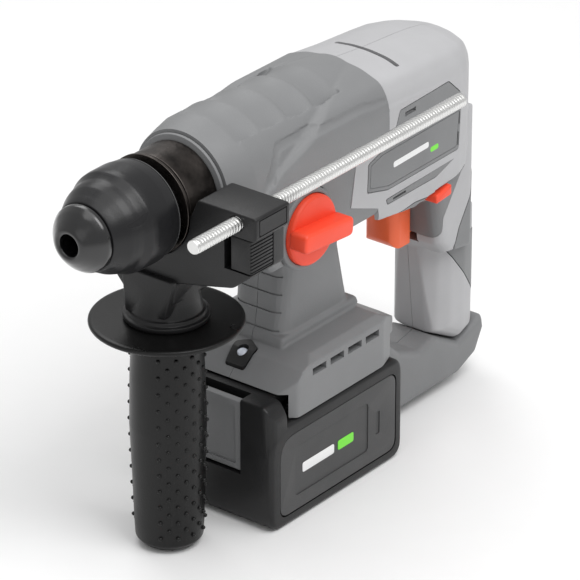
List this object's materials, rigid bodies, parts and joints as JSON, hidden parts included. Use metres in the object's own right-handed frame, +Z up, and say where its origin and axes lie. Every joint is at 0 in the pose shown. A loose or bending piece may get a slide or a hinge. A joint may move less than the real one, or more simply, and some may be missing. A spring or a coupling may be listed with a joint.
{
  "type": "rotary hammer",
  "caption": "Cordless rotary hammer with D-handle, keyless bit chuck, swivelling side handle with depth rod, mode knob, trigger and slide-on battery.",
  "frame": {"origin": "centre of the battery's flat underside, the face the tool stands on", "axes": "+X forward along the spindle to the chuck, +Y to the tool's left (the mode knob's side), +Z up; the spindle axis is at Y 0, Z 0.177"},
  "size_m": [0.2955, 0.0975, 0.2074],
  "materials": {
    "light_grey_plastic": "fine moulded texture, satin",
    "mid_grey_plastic": "fine moulded texture, satin",
    "dark_grey_plastic": "fine moulded texture",
    "black_plastic": "satin",
    "orange_plastic": "satin",
    "black_rubber": "smooth, slightly glossy",
    "steel": "machined",
    "bright_steel": "zinc plated, bright",
    "dark_steel": "dark burnished",
    "aluminium": "die-cast",
    "copper": "wound copper and bronze",
    "carbon_black": "matt",
    "circuit_board": "coated board",
    "cell_wrap": "shrink wrap",
    "lens": "clear moulded lens"
  },
  "bodies": {
    "tool": {"gear_cover": "mid_grey_plastic", "motor_housing_left": "light_grey_plastic", "motor_housing_right": "light_grey_plastic", "base_housing_left": "mid_grey_plastic", "base_housing_right": "mid_grey_plastic", "label_panel_left": "mid_grey_plastic", "label_panel_right": "mid_grey_plastic", "neck_ring": "steel", "front_bearing": "bright_steel", "rear_bearing": "copper", "lay_bearing_front": "bright_steel", "lay_bearing_rear": "bright_steel", "motor_can": "steel", "brush_holder": "carbon_black", "motor_bearing_front": "bright_steel", "motor_bearing_rear": "bright_steel", "bearing_plate": "aluminium", "mode_seat": "mid_grey_plastic", "trigger_spring": "steel", "switch_box": "black_plastic", "control_board": "circuit_board", "led_bezel": "black_plastic", "led_lens": "lens", "terminal_block": "dark_steel", "housing_screw_1": "steel", "housing_screw_2": "steel"},
    "spindle": {"spindle_tube": "steel", "spindle_gear": "steel", "dust_cap": "black_rubber", "locking_ball_left": "bright_steel", "locking_ball_right": "bright_steel", "sleeve_spring": "steel"},
    "chuck_sleeve": {"locking_sleeve": "black_plastic"},
    "lay_shaft": {"lay_shaft": "steel", "lay_gear": "steel", "wobble_hub": "steel"},
    "rotor": {"rotor_shaft": "steel", "rotor_core": "copper", "commutator": "copper", "cooling_fan": "black_plastic"},
    "wobble": {"wobble_ring": "steel"},
    "piston": {"piston": "aluminium"},
    "striker": {"striker": "steel"},
    "impact_bolt": {"impact_bolt": "steel"},
    "handle_clamp": {"clamp_band": "dark_steel", "clamp_body": "black_plastic", "clamp_bolt": "steel"},
    "side_grip": {"side_grip": "black_rubber", "grip_nut": "steel"},
    "depth_rod": {"depth_rod": "bright_steel"},
    "rod_lock": {"rod_lock_button": "black_plastic"},
    "mode_knob": {"mode_knob": "orange_plastic"},
    "trigger": {"trigger": "orange_plastic"},
    "direction_switch": {"direction_switch": "orange_plastic"},
    "battery": {"battery_case": "black_plastic", "battery_panel_left": "dark_grey_plastic", "battery_panel_right": "dark_grey_plastic", "battery_cells": "cell_wrap", "release_spring": "steel"},
    "release_button": {"release_button": "mid_grey_plastic"}
  },
  "joints": [
    {"name": "spindle_turn", "type": "hinge", "parent": "tool", "child": "spindle", "pos_m": [0.05, 0, 0.177], "axis": [1, 0, 0], "continuous": true},
    {"name": "lay_shaft_turn", "type": "hinge", "parent": "tool", "child": "lay_shaft", "pos_m": [0, 0, 0.152], "axis": [1, 0, 0], "continuous": true},
    {"name": "rotor_turn", "type": "hinge", "parent": "tool", "child": "rotor", "pos_m": [-0.07, 0, 0.1672], "axis": [1, 0, 0], "continuous": true},
    {"name": "sleeve_pull", "type": "slide", "parent": "spindle", "child": "chuck_sleeve", "axis": [-1, 0, 0], "range_m": [0, 0.0044], "stiffness_N_per_m": 600, "deforming": ["sleeve_spring"]},
    {"name": "wobble_swing", "type": "hinge", "parent": "tool", "child": "wobble", "pos_m": [-0.005, 0, 0.152], "axis": [0, 1, 0], "range_deg": [-12, 12]},
    {"name": "piston_stroke", "type": "slide", "parent": "tool", "child": "piston", "axis": [1, 0, 0], "range_m": [-0.0053, 0.0053]},
    {"name": "striker_flight", "type": "slide", "parent": "tool", "child": "striker", "axis": [1, 0, 0], "range_m": [-0.005, 0.008]},
    {"name": "impact_bolt_travel", "type": "slide", "parent": "tool", "child": "impact_bolt", "axis": [1, 0, 0], "range_m": [-0.003, 0.008]},
    {"name": "handle_swivel", "type": "hinge", "parent": "tool", "child": "handle_clamp", "pos_m": [0.082, 0, 0.177], "axis": [1, 0, 0], "range_deg": [0, 180]},
    {"name": "grip_twist", "type": "hinge", "parent": "handle_clamp", "child": "side_grip", "pos_m": [0.082, 0, 0.1], "axis": [0, 0, 1], "range_deg": [0, 360]},
    {"name": "depth_rod_slide", "type": "slide", "parent": "handle_clamp", "child": "depth_rod", "axis": [1, 0, 0], "range_m": [-0.02, 0.1]},
    {"name": "rod_lock_press", "type": "slide", "parent": "handle_clamp", "child": "rod_lock", "axis": [0, -1, 0], "range_m": [0, 0.003], "stiffness_N_per_m": 1200},
    {"name": "mode_knob_turn", "type": "hinge", "parent": "tool", "child": "mode_knob", "pos_m": [0.023, 0.04, 0.148], "axis": [0, 1, 0], "range_deg": [-90, 90]},
    {"name": "trigger_pull", "type": "slide", "parent": "tool", "child": "trigger", "axis": [-1, 0, 0], "range_m": [0, 0.006], "stiffness_N_per_m": 800, "deforming": ["trigger_spring"]},
    {"name": "direction_slide", "type": "slide", "parent": "tool", "child": "direction_switch", "axis": [0, 1, 0], "range_m": [-0.003, 0.003]},
    {"name": "battery_slide", "type": "slide", "parent": "tool", "child": "battery", "axis": [1, 0, 0], "range_m": [0, 0.011]},
    {"name": "release_press", "type": "slide", "parent": "battery", "child": "release_button", "axis": [-1, 0, 0], "range_m": [0, 0.003], "stiffness_N_per_m": 1000, "deforming": ["release_spring"]}
  ],
  "couplings": [
    {"joint": "lay_shaft_turn", "follows": "spindle_turn", "ratio": -3},
    {"joint": "rotor_turn", "follows": "spindle_turn", "ratio": 11.25},
    {"joint": "piston_stroke", "follows": "wobble_swing", "m_per_rad": 0.025}
  ]
}
